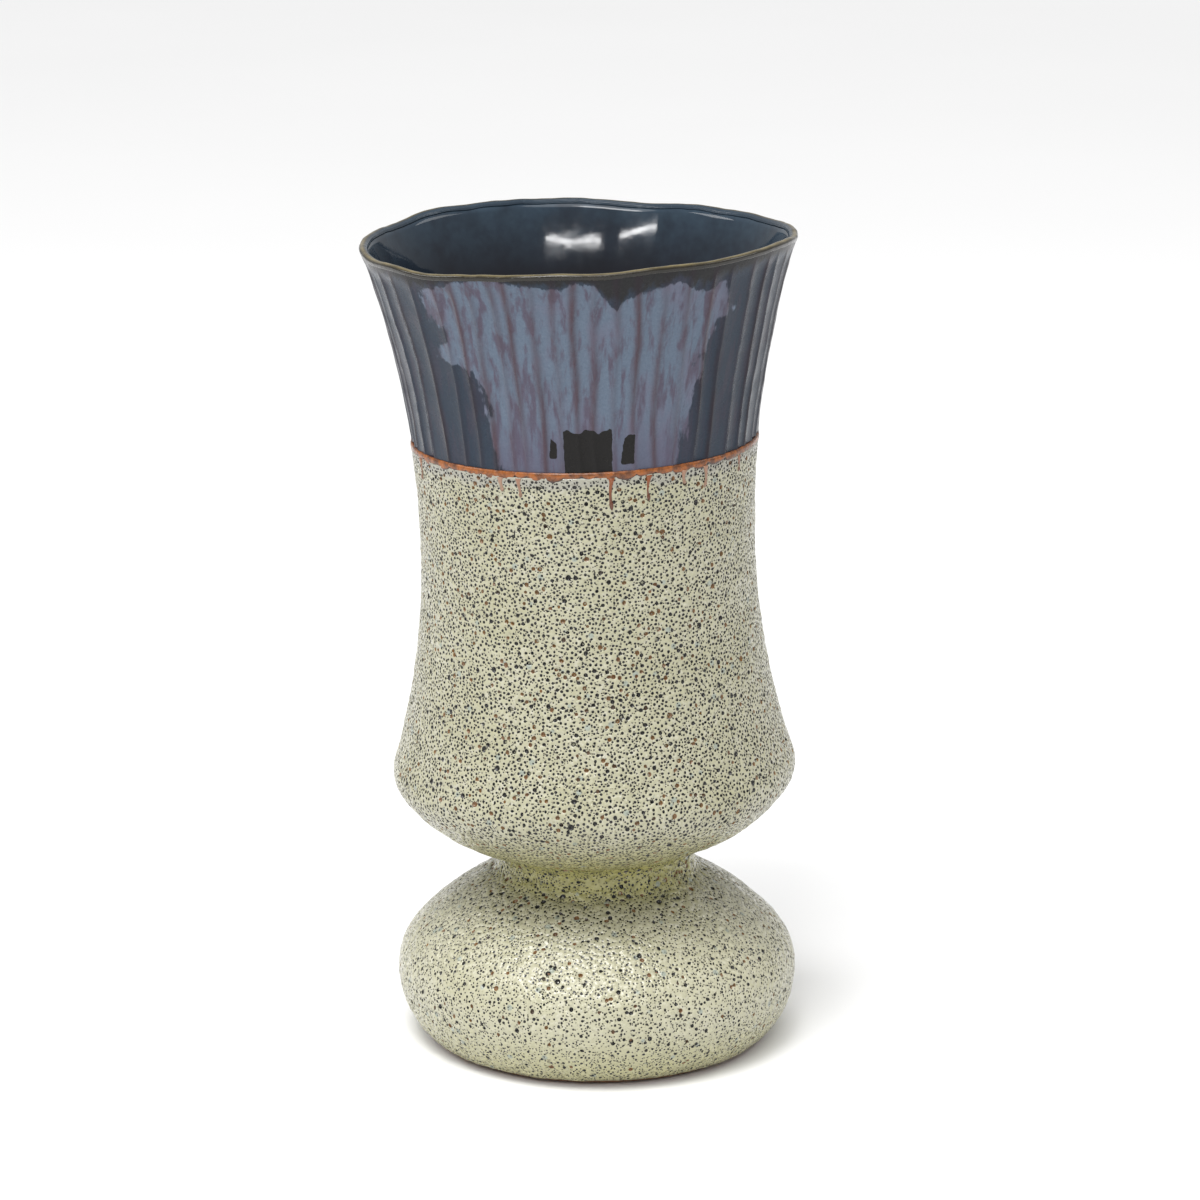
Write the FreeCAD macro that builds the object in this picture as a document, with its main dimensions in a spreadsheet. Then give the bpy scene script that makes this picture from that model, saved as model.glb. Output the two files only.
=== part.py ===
import FreeCAD, Part
import math
import os
import Sketcher

# A hand-made stoneware vase: a waisted, fluted vessel standing on a hollow bulb.
# Millimetres.  The origin is the centre of the flat base and +Z is up.
#
# The vessel is made upright about its own axis, with its heights measured from
# the joint at the neck, and is then placed there with its slight lean.
# Radii are those of the fired clay; glazes are coats added outside or inside.

SIZES = {
    # the bulb, measured from the table
    "bulb_radius": 78.3,
    "bulb_middle": 27.2,
    "bulb_side_radius": 23.0,
    "bulb_lower_radius": 33.3,
    "bulb_crown_radius": 98.3,
    "floor_thickness": 6.0,
    "dry_foot": 3.0,
    # the neck and the joint
    "joint_height": 72.4,
    "passage_radius": 32.0,
    "neck_tube_radius": 36.0,
    "slip_thickness": 1.6,
    "coil_waist_radius": 37.8,
    "coil_hollow_radius": 12.0,
    "coil_upper_end": 108.0,
    "coil_lower_end": 246.0,
    "coil_depth_above": 8.5,
    "coil_depth_below": 7.5,
    "skin_end_radius": 40.8,
    # the vessel, measured up from the joint
    "lean": 1.6,
    "underside_radius": 61.0,
    "underside_centre": 67.6,
    "belly_radius": 78.4,
    "belly_height": 38.0,
    "belly_corner": 13.0,
    "waist_radius": 64.0,
    "waist_height": 130.0,
    "flare_radius": 357.0,
    "bore_flare_radius": 313.0,
    "rim_height": 249.0,
    "rim_band": 4.0,
    # the iron line between the lava glaze and the blue collar
    "line_low": 168.0,
    "line_high": 171.0,
    # walls and coats
    "clay_wall": 5.0,
    "lava_coat": 1.0,
    "collar_coat": 0.6,
    "line_coat": 1.2,
    "rim_coat": 0.5,
    "liner_coat": 0.4,
    # the carved flutes of the collar
    "flute_count": 64,
    "flute_cutter": 5.0,
    "flute_depth": 0.7,
    "flute_overrun": 1.5,
    "collar_depth_in_clay": 0.9,
    # the runs of iron glaze below the line
    "drip_half_width": 1.1,
    "drip_relief": 0.8,
    "drip_lift": 0.2,
}

# each run's bearing round from the front, in degrees, and its length
DRIPS = [
    (8.5, 12),
    (21, 9.5),
    (34, 5),
    (43, 8),
    (61, 6),
    (98, 6),
    (131, 10),
    (172, 7),
    (-21.5, 7),
    (-28, 5),
    (-69, 8),
    (-106, 8),
    (-148, 5),
]

document = FreeCAD.newDocument("vase")
sheet = document.addObject("Spreadsheet::Sheet", "sizes")


def fill_sheet():
    """Writes the driving dimensions into the sheet, one aliased cell each."""
    for row, (name, size) in enumerate(SIZES.items(), start=1):
        sheet.set(f"A{row}", name.replace("_", " "))
        sheet.set(f"B{row}", str(size))
        sheet.setAlias(f"B{row}", name)
    document.recompute()


def number(expression):
    """The present value of a spreadsheet expression."""
    result = sheet.evalExpression(expression)
    return float(getattr(result, "Value", result))


# ---------------------------------------------------------------- sketches


def new_body(name):
    """A body with the node's name."""
    body = document.addObject("PartDesign::Body", name)
    body.Label = name
    return body


def new_sketch(body, name, plane="XZ_Plane"):
    """A sketch on one of the body's own origin planes."""
    sketch = body.newObject("Sketcher::SketchObject", name)
    origin_plane = [p for p in body.Origin.OriginFeatures if p.Role == plane][0]
    sketch.AttachmentSupport = (origin_plane, [""])
    sketch.MapMode = "FlatFace"
    return sketch


def bind(sketch, kind, *parts):
    """Adds a sized constraint that follows an expression of the sheet."""
    *where, expression = parts
    size = number(expression)
    index = sketch.addConstraint(Sketcher.Constraint(kind, *where, size))
    sketch.setExpression(f"Constraints[{index}]", expression)


def fix_point(sketch, end, x=None, y=None):
    """Ties a point's distance from the axis, its height, or both."""
    if x is not None:
        bind(sketch, "DistanceX", -1, 1, *end, x)
    if y is not None:
        bind(sketch, "DistanceY", -1, 1, *end, y)


def add_arc(sketch, centre, radius, start, finish):
    """An arc drawn anticlockwise from one direction to another, in radians."""
    circle = Part.Circle(FreeCAD.Vector(*centre, 0), FreeCAD.Vector(0, 0, 1), radius)
    return sketch.addGeometry(Part.ArcOfCircle(circle, start, finish))


def join(sketch, first, second, kind="Coincident"):
    """Joins two ends, each a (geometry, point) pair, smoothly if kind is Tangent."""
    sketch.addConstraint(Sketcher.Constraint(kind, *first, *second))


def add_path(sketch, start, corners, finish):
    """Straight lines from one end through corners, given as expressions, to another."""
    points = [sketch.getPoint(*start)]
    points += [FreeCAD.Vector(number(x), number(y), 0) for x, y in corners]
    points.append(sketch.getPoint(*finish))
    lines = []
    for low, high in zip(points, points[1:]):
        lines.append(sketch.addGeometry(Part.LineSegment(low, high)))
    join(sketch, start, (lines[0], 1))
    for line, following, (x, y) in zip(lines, lines[1:], corners):
        join(sketch, (line, 2), (following, 1))
        fix_point(sketch, (line, 2), x, y)
    join(sketch, (lines[-1], 2), finish)


def flare_arc(sketch, offset, flare, low, high):
    """The collar's outward curve between two heights; its centre is level with the waist."""
    waist_height = number("sizes.waist_height")
    centre_x = f"sizes.waist_radius + ({offset}) + {flare}"
    centre = (number(centre_x), waist_height)
    radius = number(flare)
    start = math.pi - math.asin((number(high) - waist_height) / radius)
    finish = math.pi - math.asin((number(low) - waist_height) / radius)
    arc = add_arc(sketch, centre, radius, start, finish)
    fix_point(sketch, (arc, 3), centre_x, "sizes.waist_height")
    bind(sketch, "Radius", arc, flare)
    fix_point(sketch, (arc, 1), y=high)
    fix_point(sketch, (arc, 2), y=low)
    return (arc, 1), (arc, 2)


def vessel_face(sketch, offset, flare, top, end_radius):
    """One face of the vessel as four tangent arcs, from a height down to the neck.

    The offset is added outside the clay's outer face.
    """
    waist_x = number(f"sizes.waist_radius + ({offset})")
    waist_y = number("sizes.waist_height")
    corner = number(f"sizes.belly_corner + ({offset})")
    corner_x = number("sizes.belly_radius - sizes.belly_corner")
    corner_y = number("sizes.belly_height")
    under = number(f"sizes.underside_radius + ({offset})")
    under_y = number("sizes.underside_centre")

    reach = waist_x - corner_x
    rise = waist_y - corner_y
    barrel = (reach**2 + rise**2 - corner**2) / (2 * (corner - reach))
    barrel_x = waist_x + barrel
    shoulder = math.atan2(rise, barrel_x - corner_x)
    under_x = corner_x - math.sqrt((under - corner) ** 2 - (under_y - corner_y) ** 2)
    turn = math.atan2(corner_y - under_y, corner_x - under_x)
    end = -math.acos((number(end_radius) - under_x) / under)

    top_end, waist_end = flare_arc(sketch, offset, flare, "sizes.waist_height", top)
    barrel_arc = add_arc(sketch, (barrel_x, waist_y), barrel, math.pi, math.pi + shoulder)
    belly_arc = add_arc(sketch, (corner_x, corner_y), corner, turn, shoulder)
    under_arc = add_arc(sketch, (under_x, under_y), under, end, turn)
    join(sketch, waist_end, (barrel_arc, 1), "Tangent")
    join(sketch, (barrel_arc, 2), (belly_arc, 2), "Tangent")
    join(sketch, (belly_arc, 1), (under_arc, 2), "Tangent")
    fix_point(sketch, (belly_arc, 3), "sizes.belly_radius - sizes.belly_corner", "sizes.belly_height")
    bind(sketch, "Radius", belly_arc, f"sizes.belly_corner + ({offset})")
    bind(sketch, "Radius", under_arc, f"sizes.underside_radius + ({offset})")
    fix_point(sketch, (under_arc, 3), y="sizes.underside_centre")
    fix_point(sketch, (under_arc, 1), x=end_radius)
    return top_end, (under_arc, 1)


def bulb_face(sketch, offset, end_radius, foot):
    """One face of the bulb as three arcs, from the neck down to its foot.

    The foot is a dictionary that ties the lowest point's x or y.
    """
    middle = number("sizes.bulb_middle")
    side = number(f"sizes.bulb_side_radius + ({offset})")
    side_x = number("sizes.bulb_radius - sizes.bulb_side_radius")
    lower = number(f"sizes.bulb_lower_radius + ({offset})")
    lower_x = number("sizes.bulb_radius - sizes.bulb_lower_radius")
    crown = number(f"sizes.bulb_crown_radius + ({offset})")
    crown_y = middle - math.sqrt((crown - side) ** 2 - side_x**2)
    shoulder = math.atan2(middle - crown_y, side_x)
    if "x" in foot:
        start = -math.acos((number(foot["x"]) - lower_x) / lower)
    else:
        start = -math.asin((middle - number(foot["y"])) / lower)

    lower_arc = add_arc(sketch, (lower_x, middle), lower, start, 0)
    side_arc = add_arc(sketch, (side_x, middle), side, 0, shoulder)
    top = math.acos(number(end_radius) / crown)
    crown_arc = add_arc(sketch, (0, crown_y), crown, shoulder, top)
    fix_point(sketch, (side_arc, 3), "sizes.bulb_radius - sizes.bulb_side_radius", "sizes.bulb_middle")
    bind(sketch, "Radius", side_arc, f"sizes.bulb_side_radius + ({offset})")
    fix_point(sketch, (side_arc, 1), y="sizes.bulb_middle")
    fix_point(sketch, (lower_arc, 3), "sizes.bulb_radius - sizes.bulb_lower_radius", "sizes.bulb_middle")
    join(sketch, (lower_arc, 2), (side_arc, 1))
    fix_point(sketch, (lower_arc, 1), **foot)
    join(sketch, (side_arc, 2), (crown_arc, 1), "Tangent")
    sketch.addConstraint(Sketcher.Constraint("PointOnObject", crown_arc, 3, -2))
    bind(sketch, "Radius", crown_arc, f"sizes.bulb_crown_radius + ({offset})")
    fix_point(sketch, (crown_arc, 2), x=end_radius)
    return (crown_arc, 2), (lower_arc, 1)


def turn_about_axis(body, sketch, name):
    """Revolves a closed outline a full turn about the vertical axis."""
    revolution = body.newObject("PartDesign::Revolution", name)
    revolution.Profile = sketch
    revolution.ReferenceAxis = (sketch, ["V_Axis"])
    revolution.Angle = 360
    sketch.Visibility = False
    document.recompute()
    return revolution


def stand_on_joint(body):
    """Puts a piece of the vessel on the neck joint, leaning towards -X."""
    body.Placement = FreeCAD.Placement(
        FreeCAD.Vector(0, 0, number("sizes.joint_height")),
        FreeCAD.Rotation(FreeCAD.Vector(0, -1, 0), number("sizes.lean")),
    )
    body.setExpression("Placement.Base.z", "sizes.joint_height")
    body.setExpression("Placement.Rotation.Angle", "sizes.lean")


# ---------------------------------------------------------------- clay pieces

BORE = "0 - sizes.clay_wall"
LINER = "0 - sizes.clay_wall - sizes.liner_coat"
CLAY_FLARE = "sizes.flare_radius"
BORE_FLARE = "sizes.bore_flare_radius"
LINER_FLARE = "(sizes.bore_flare_radius + sizes.liner_coat)"
CLAY_RIM = "sizes.rim_height - sizes.rim_coat"
BAND_LOW = "sizes.rim_height - sizes.rim_band"
HALF_SLIP = "sizes.slip_thickness / 2"
LOWER_CENTRE = "(sizes.bulb_radius - sizes.bulb_lower_radius)"
BASE_RADIUS = f"({LOWER_CENTRE} + sqrt(sizes.bulb_lower_radius ^ 2 - sizes.bulb_middle ^ 2))"


def outside_flare(coat):
    """The flare's radius on the outer face of a coat of glaze."""
    return f"(sizes.flare_radius - {coat})"


def carve_flutes(body, cutter, overrun):
    """Cuts the collar's upright flutes, each by a circle swung about the flare's centre.

    They run past the blue glaze at both ends, under the iron line and the rim glaze.
    """
    low = f"(sizes.line_high - {overrun} - sizes.waist_height)"
    high = f"({BAND_LOW} + {overrun} - sizes.waist_height)"
    first_angle = f"asin({low} / sizes.flare_radius)"
    last_angle = f"asin({high} / sizes.flare_radius)"
    axis_x = "sizes.waist_radius + sizes.flare_radius"
    sketch = new_sketch(body, f"{body.Name}_flute_outline", "XY_Plane")
    sketch.AttachmentOffset = FreeCAD.Placement(
        FreeCAD.Vector(number(axis_x), 0, number("sizes.waist_height")),
        FreeCAD.Rotation(FreeCAD.Vector(0, 1, 0), number(first_angle)),
    )
    sketch.setExpression("AttachmentOffset.Base.x", axis_x)
    sketch.setExpression("AttachmentOffset.Base.z", "sizes.waist_height")
    sketch.setExpression("AttachmentOffset.Rotation.Angle", first_angle)
    swing = "sizes.flare_radius - sizes.flute_cutter + sizes.flute_depth"
    centre = FreeCAD.Vector(-number(swing), 0, 0)
    circle = sketch.addGeometry(Part.Circle(centre, FreeCAD.Vector(0, 0, 1), number(cutter)))
    bind(sketch, "DistanceX", circle, 3, -1, 1, swing)
    sketch.addConstraint(Sketcher.Constraint("PointOnObject", circle, 3, -1))
    bind(sketch, "Radius", circle, cutter)

    flute = body.newObject("PartDesign::Groove", f"{body.Name}_flute")
    flute.Profile = sketch
    flute.ReferenceAxis = (sketch, ["V_Axis"])
    flute.setExpression("Angle", f"{last_angle} - {first_angle}")
    document.recompute()

    pattern = body.newObject("PartDesign::PolarPattern", f"{body.Name}_flutes")
    pattern.Originals = [flute]
    z_axis = [a for a in body.Origin.OriginFeatures if a.Role == "Z_Axis"][0]
    pattern.Axis = (z_axis, [""])
    pattern.Angle = 360
    pattern.setExpression("Occurrences", "sizes.flute_count")
    body.Tip = pattern
    document.recompute()


def make_vessel_wall():
    """The thrown vessel: open at the rim, and at its short neck tube below."""
    body = new_body("vessel_wall")
    sketch = new_sketch(body, "vessel_wall_outline")
    rim, neck = vessel_face(sketch, "0", CLAY_FLARE, CLAY_RIM, "sizes.neck_tube_radius")
    bore_rim, bore_neck = vessel_face(sketch, BORE, BORE_FLARE, CLAY_RIM, "sizes.passage_radius")
    add_path(sketch, rim, [], bore_rim)
    tube_end = [("sizes.neck_tube_radius", HALF_SLIP), ("sizes.passage_radius", HALF_SLIP)]
    add_path(sketch, neck, tube_end, bore_neck)
    turn_about_axis(body, sketch, "vessel_wall_turned")
    carve_flutes(body, "sizes.flute_cutter", "sizes.flute_overrun")
    stand_on_joint(body)
    return body


def make_foot_bulb():
    """The hollow bulb that the vessel stands on, with its flat, dry base."""
    body = new_body("foot_bulb")
    sketch = new_sketch(body, "foot_bulb_outline")
    neck, base = bulb_face(sketch, "0", "sizes.neck_tube_radius", {"x": BASE_RADIUS})
    floor_edge = {"y": "sizes.floor_thickness"}
    bore_neck, floor = bulb_face(sketch, BORE, "sizes.passage_radius", floor_edge)
    tube_top = f"sizes.joint_height - {HALF_SLIP}"
    tube_end = [("sizes.neck_tube_radius", tube_top), ("sizes.passage_radius", tube_top)]
    add_path(sketch, neck, tube_end, bore_neck)
    add_path(sketch, base, [("0", "0"), ("0", "sizes.floor_thickness")], floor)
    turn_about_axis(body, sketch, "foot_bulb_turned")
    return body


def neck_blank(name, coat):
    """A ring with a hollowed outer face, whose edges end inside the clay above and below."""
    body = new_body(name)
    sketch = new_sketch(body, f"{name}_outline")
    hollow = f"(sizes.coil_hollow_radius - {coat})"
    centre_x = "sizes.coil_waist_radius + sizes.coil_hollow_radius"
    centre = (number(centre_x), number("sizes.joint_height"))
    above = math.radians(number("sizes.coil_upper_end"))
    below = math.radians(number("sizes.coil_lower_end"))
    arc = add_arc(sketch, centre, number(hollow), above, below)
    fix_point(sketch, (arc, 3), centre_x, "sizes.joint_height")
    bind(sketch, "Radius", arc, hollow)
    fix_point(sketch, (arc, 1), y=f"sizes.joint_height + {hollow} * sin(sizes.coil_upper_end)")
    fix_point(sketch, (arc, 2), y=f"sizes.joint_height + {hollow} * sin(sizes.coil_lower_end)")
    inner_end = [
        ("sizes.passage_radius", "sizes.joint_height - sizes.coil_depth_below"),
        ("sizes.passage_radius", "sizes.joint_height + sizes.coil_depth_above"),
    ]
    add_path(sketch, (arc, 2), inner_end, (arc, 1))
    turn_about_axis(body, sketch, f"{name}_turned")
    return body


def cut_away(name, base, tools):
    """The base less each tool in turn; the last cut carries the node's name."""
    result = base
    for index, tool in enumerate(tools, start=1):
        cut = document.addObject("Part::Cut", f"{name}_cut_{index}")
        cut.Base = result
        cut.Tool = tool
        result = cut
    document.recompute()
    result.Label = name
    return result


def make_neck_coil(vessel_wall, foot_bulb):
    """The soft clay that fills the joint: a film between the tubes and a coil round them."""
    blank = neck_blank("neck_coil_blank", "0")
    return cut_away("neck_coil", blank, [vessel_wall, foot_bulb])


# ---------------------------------------------------------------- glaze coats


def make_skin(name, draw_faces):
    """A coat of glaze: two faces drawn by draw_faces and joined at both ends, then turned."""
    body = new_body(name)
    sketch = new_sketch(body, f"{name}_outline")
    (outer_top, outer_low), (inner_top, inner_low) = draw_faces(sketch)
    add_path(sketch, outer_top, [], inner_top)
    add_path(sketch, outer_low, [], inner_low)
    turn_about_axis(body, sketch, f"{name}_turned")
    return body


def make_lava_glaze_vessel():
    """The pitted pale coat, from the iron line down to the neck."""

    def faces(sketch):
        end = "sizes.skin_end_radius"
        coat = "sizes.lava_coat"
        outer = vessel_face(sketch, coat, outside_flare(coat), "sizes.line_low", end)
        inner = vessel_face(sketch, "0", CLAY_FLARE, "sizes.line_low", end)
        return outer, inner

    body = make_skin("lava_glaze_vessel", faces)
    stand_on_joint(body)
    return body


def make_lava_glaze_foot():
    """The same coat over the bulb; it stops short of the table."""

    def faces(sketch):
        end = "sizes.skin_end_radius"
        dry_foot = {"y": "sizes.dry_foot"}
        return (
            bulb_face(sketch, "sizes.lava_coat", end, dry_foot),
            bulb_face(sketch, "0", end, dry_foot),
        )

    return make_skin("lava_glaze_foot", faces)


def make_lava_glaze_neck(neighbours):
    """The same coat over the coil, filling the hollow between its neighbours."""
    blank = neck_blank("lava_glaze_neck_blank", "sizes.lava_coat")
    return cut_away("lava_glaze_neck", blank, neighbours)


def make_collar_glaze(vessel_wall):
    """The blue coat on the fluted collar, following the flutes inside and out."""
    body = new_body("collar_glaze_blank")
    sketch = new_sketch(body, "collar_glaze_outline")
    coat = "sizes.collar_coat"
    buried = "0 - sizes.collar_depth_in_clay"
    buried_flare = "(sizes.flare_radius + sizes.collar_depth_in_clay)"
    outer = flare_arc(sketch, coat, outside_flare(coat), "sizes.line_high", BAND_LOW)
    inner = flare_arc(sketch, buried, buried_flare, "sizes.line_high", BAND_LOW)
    add_path(sketch, outer[0], [], inner[0])
    add_path(sketch, outer[1], [], inner[1])
    turn_about_axis(body, sketch, "collar_glaze_turned")
    carve_flutes(body, "sizes.flute_cutter - sizes.collar_coat", "2 * sizes.flute_overrun")
    stand_on_joint(body)
    return cut_away("collar_glaze", body, [vessel_wall])


def make_iron_line():
    """The narrow rust-coloured bead where the two glazes meet."""

    def faces(sketch):
        coat = "sizes.line_coat"
        outer = flare_arc(sketch, coat, outside_flare(coat), "sizes.line_low", "sizes.line_high")
        inner = flare_arc(sketch, "0", CLAY_FLARE, "sizes.line_low", "sizes.line_high")
        return outer, inner

    body = make_skin("iron_line", faces)
    stand_on_joint(body)
    return body


def make_iron_drips(lava_glaze_vessel):
    """Runs of iron glaze that hang below the line, proud of the lava glaze."""
    runs = []
    coat = "sizes.lava_coat"
    flare = f"(sizes.flare_radius - {coat})"
    for index, (bearing, length) in enumerate(DRIPS, start=1):
        run = document.addObject("Part::Ellipsoid", f"iron_run_{index}")
        run.Radius1 = length / 2
        run.setExpression("Radius2", "sizes.drip_relief")
        run.setExpression("Radius3", "sizes.drip_half_width")
        height = number("sizes.line_low") - length / 2
        rise = height - number("sizes.waist_height")
        radius = number(f"sizes.waist_radius + {coat} + sizes.drip_lift")
        radius += number(flare) - math.sqrt(number(flare) ** 2 - rise**2)
        slope = math.degrees(math.asin(rise / number(flare)))
        around = FreeCAD.Rotation(FreeCAD.Vector(0, 0, 1), bearing - 90)
        along_wall = around.multiply(FreeCAD.Rotation(FreeCAD.Vector(0, 1, 0), slope))
        in_vessel = FreeCAD.Placement(around.multVec(FreeCAD.Vector(radius, 0, height)), along_wall)
        vessel_place = lava_glaze_vessel.Placement
        run.Placement = vessel_place.multiply(in_vessel)
        runs.append(run)
    group = document.addObject("Part::MultiFuse", "iron_runs")
    group.Shapes = runs
    document.recompute()
    return cut_away("iron_drips", group, [lava_glaze_vessel])


def make_rim_glaze():
    """The dark glaze folded over the lip: outside, top and inside."""
    body = new_body("rim_glaze")
    sketch = new_sketch(body, "rim_glaze_outline")
    coat = "sizes.rim_coat"
    outer = flare_arc(sketch, coat, outside_flare(coat), BAND_LOW, "sizes.rim_height")
    clay = flare_arc(sketch, "0", CLAY_FLARE, BAND_LOW, CLAY_RIM)
    bore = flare_arc(sketch, BORE, BORE_FLARE, BAND_LOW, CLAY_RIM)
    inner = flare_arc(sketch, LINER, LINER_FLARE, BAND_LOW, "sizes.rim_height")
    add_path(sketch, outer[0], [], inner[0])
    add_path(sketch, inner[1], [], bore[1])
    add_path(sketch, bore[0], [], clay[0])
    add_path(sketch, clay[1], [], outer[1])
    turn_about_axis(body, sketch, "rim_glaze_turned")
    stand_on_joint(body)
    return body


def make_liner_vessel():
    """The dark glossy glaze inside the vessel, from the rim band down its neck tube."""
    body = new_body("liner_vessel")
    sketch = new_sketch(body, "liner_vessel_outline")
    inner_radius = "sizes.passage_radius - sizes.liner_coat"
    clay_top, clay_neck = vessel_face(sketch, BORE, BORE_FLARE, BAND_LOW, "sizes.passage_radius")
    glaze_top, glaze_neck = vessel_face(sketch, LINER, LINER_FLARE, BAND_LOW, inner_radius)
    add_path(sketch, clay_top, [], glaze_top)
    tube_end = [("sizes.passage_radius", HALF_SLIP), (inner_radius, HALF_SLIP)]
    add_path(sketch, clay_neck, tube_end, glaze_neck)
    turn_about_axis(body, sketch, "liner_vessel_turned")
    stand_on_joint(body)
    return body


def make_liner_foot():
    """The same glaze inside the bulb: its neck tube, its wall and its floor."""
    body = new_body("liner_foot")
    sketch = new_sketch(body, "liner_foot_outline")
    inner_radius = "sizes.passage_radius - sizes.liner_coat"
    floor_face = "sizes.floor_thickness + sizes.liner_coat"
    tube_top = f"sizes.joint_height - {HALF_SLIP}"
    clay_neck, clay_floor = bulb_face(
        sketch, BORE, "sizes.passage_radius", {"y": "sizes.floor_thickness"}
    )
    glaze_neck, glaze_floor = bulb_face(sketch, LINER, inner_radius, {"y": floor_face})
    add_path(sketch, clay_neck, [("sizes.passage_radius", tube_top), (inner_radius, tube_top)], glaze_neck)
    add_path(sketch, clay_floor, [("0", "sizes.floor_thickness"), ("0", floor_face)], glaze_floor)
    turn_about_axis(body, sketch, "liner_foot_turned")
    return body


# ---------------------------------------------------------------- the vase


def make_vase():
    """Every piece of the vase, from the clay outwards."""
    vessel_wall = make_vessel_wall()
    foot_bulb = make_foot_bulb()
    neck_coil = make_neck_coil(vessel_wall, foot_bulb)
    lava_vessel = make_lava_glaze_vessel()
    lava_foot = make_lava_glaze_foot()
    lava_neck = make_lava_glaze_neck([vessel_wall, foot_bulb, neck_coil, lava_vessel, lava_foot])
    return [
        vessel_wall,
        foot_bulb,
        neck_coil,
        lava_vessel,
        lava_foot,
        lava_neck,
        make_collar_glaze(vessel_wall),
        make_iron_line(),
        make_iron_drips(lava_vessel),
        make_rim_glaze(),
        make_liner_vessel(),
        make_liner_foot(),
    ]


def check(pieces):
    """Stops if any object failed, or if a piece isn't a valid solid."""
    for item in document.Objects:
        if "Invalid" in item.State or "Error" in item.State:
            raise RuntimeError(f"{item.Name} failed: {item.State}")
    for piece in pieces:
        shape = piece.Shape
        if shape.isNull() or not shape.isValid() or not shape.Solids:
            raise RuntimeError(f"{piece.Label} has no valid solid")
        box = shape.BoundBox
        print(
            f"{piece.Label}: {len(shape.Solids)} solids, {shape.Volume / 1000:.2f} cm3, "
            f"z {box.ZMin:.1f} to {box.ZMax:.1f}, x {box.XMin:.1f} to {box.XMax:.1f}"
        )


def write(pieces):
    """Writes each piece to a STEP file named after it."""
    os.makedirs("parts", exist_ok=True)
    for piece in pieces:
        piece.Shape.exportStep(f"parts/{piece.Label}.step")


fill_sheet()
pieces = make_vase()
document.recompute()
check(pieces)
write(pieces)
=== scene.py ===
"""The glazed stoneware vase: the visual model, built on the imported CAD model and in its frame.

Metres. The base stands on z = 0, +Z is up and the front is -Y. A bearing is measured round
from the front, positive towards +X. The outline is worked in millimetres, as in the CAD.
"""

import math
import random
from functools import cache

import bpy
import numpy as np
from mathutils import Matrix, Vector, noise
from mathutils.geometry import delaunay_2d_cdt


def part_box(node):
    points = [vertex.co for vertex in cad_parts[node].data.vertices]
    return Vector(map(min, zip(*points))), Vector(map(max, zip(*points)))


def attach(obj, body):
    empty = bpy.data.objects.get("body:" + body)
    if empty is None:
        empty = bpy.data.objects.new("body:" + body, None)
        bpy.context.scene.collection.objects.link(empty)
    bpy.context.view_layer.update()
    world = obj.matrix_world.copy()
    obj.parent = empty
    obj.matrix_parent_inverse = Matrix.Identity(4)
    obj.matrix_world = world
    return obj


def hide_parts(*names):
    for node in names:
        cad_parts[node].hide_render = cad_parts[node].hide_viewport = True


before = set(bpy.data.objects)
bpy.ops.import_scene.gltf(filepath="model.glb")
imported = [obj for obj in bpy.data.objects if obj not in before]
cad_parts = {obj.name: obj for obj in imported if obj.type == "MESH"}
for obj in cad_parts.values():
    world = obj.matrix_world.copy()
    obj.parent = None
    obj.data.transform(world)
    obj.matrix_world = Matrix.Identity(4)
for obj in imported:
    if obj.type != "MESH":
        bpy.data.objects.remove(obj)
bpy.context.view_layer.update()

MM = 0.001


def half_width(node):
    """Half of a CAD node's extent across the view, in millimetres."""
    low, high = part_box(node)
    return (high[1] - low[1]) / 2 / MM


def top_of(node):
    """The height of a CAD node's highest point, in millimetres."""
    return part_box(node)[1][2] / MM


# ---------- sizes in millimetres

HALF_SLIP = 0.8
JOINT = top_of("foot_bulb") + HALF_SLIP
LEAN = math.radians(1.6)
WALL = 5.0

# the bulb, with its heights measured from the joint as all the outline's are
BULB_RADIUS = half_width("foot_bulb")
BULB_MIDDLE = 27.2 - JOINT
BULB_SIDE = 23.0
BULB_LOWER = 33.3
BULB_CROWN = 98.3
FOOT_EDGE = 3.0 - JOINT

# the waist of the coil in the neck
COIL_WAIST = 37.8

# the vessel
BELLY_RADIUS = 78.4
BELLY_HEIGHT = 38.0
BELLY_CORNER = 13.0
UNDERSIDE = 61.0
UNDERSIDE_CENTRE = 67.6
WAIST_RADIUS = 64.0
WAIST_HEIGHT = 130.0
FLARE = 357.0
BORE_FLARE = 313.0
RIM_HEIGHT = 249.0
LINE_LOW = 168.0
LINE_HIGH = 171.0

# where the underside ends inside the neck, as angles in radians on the clay's two faces
OUTER_END = -1.25
INNER_END = -1.2

# coats of glaze
LAVA_COAT = 1.0
COLLAR_COAT = 0.6
RIM_COAT = 0.5
LINER_COAT = 0.4

# how far below the rim the pieces that the rim band covers end, and the band's own ends
CLAY_BELOW_RIM = 1.7
COLLAR_BELOW_RIM = 1.4
LINER_BELOW_RIM = 1.6
BAND_TOP_BELOW_RIM = 1.2
BAND_END_BELOW_RIM = 2.4


# ---------- the outline


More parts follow.
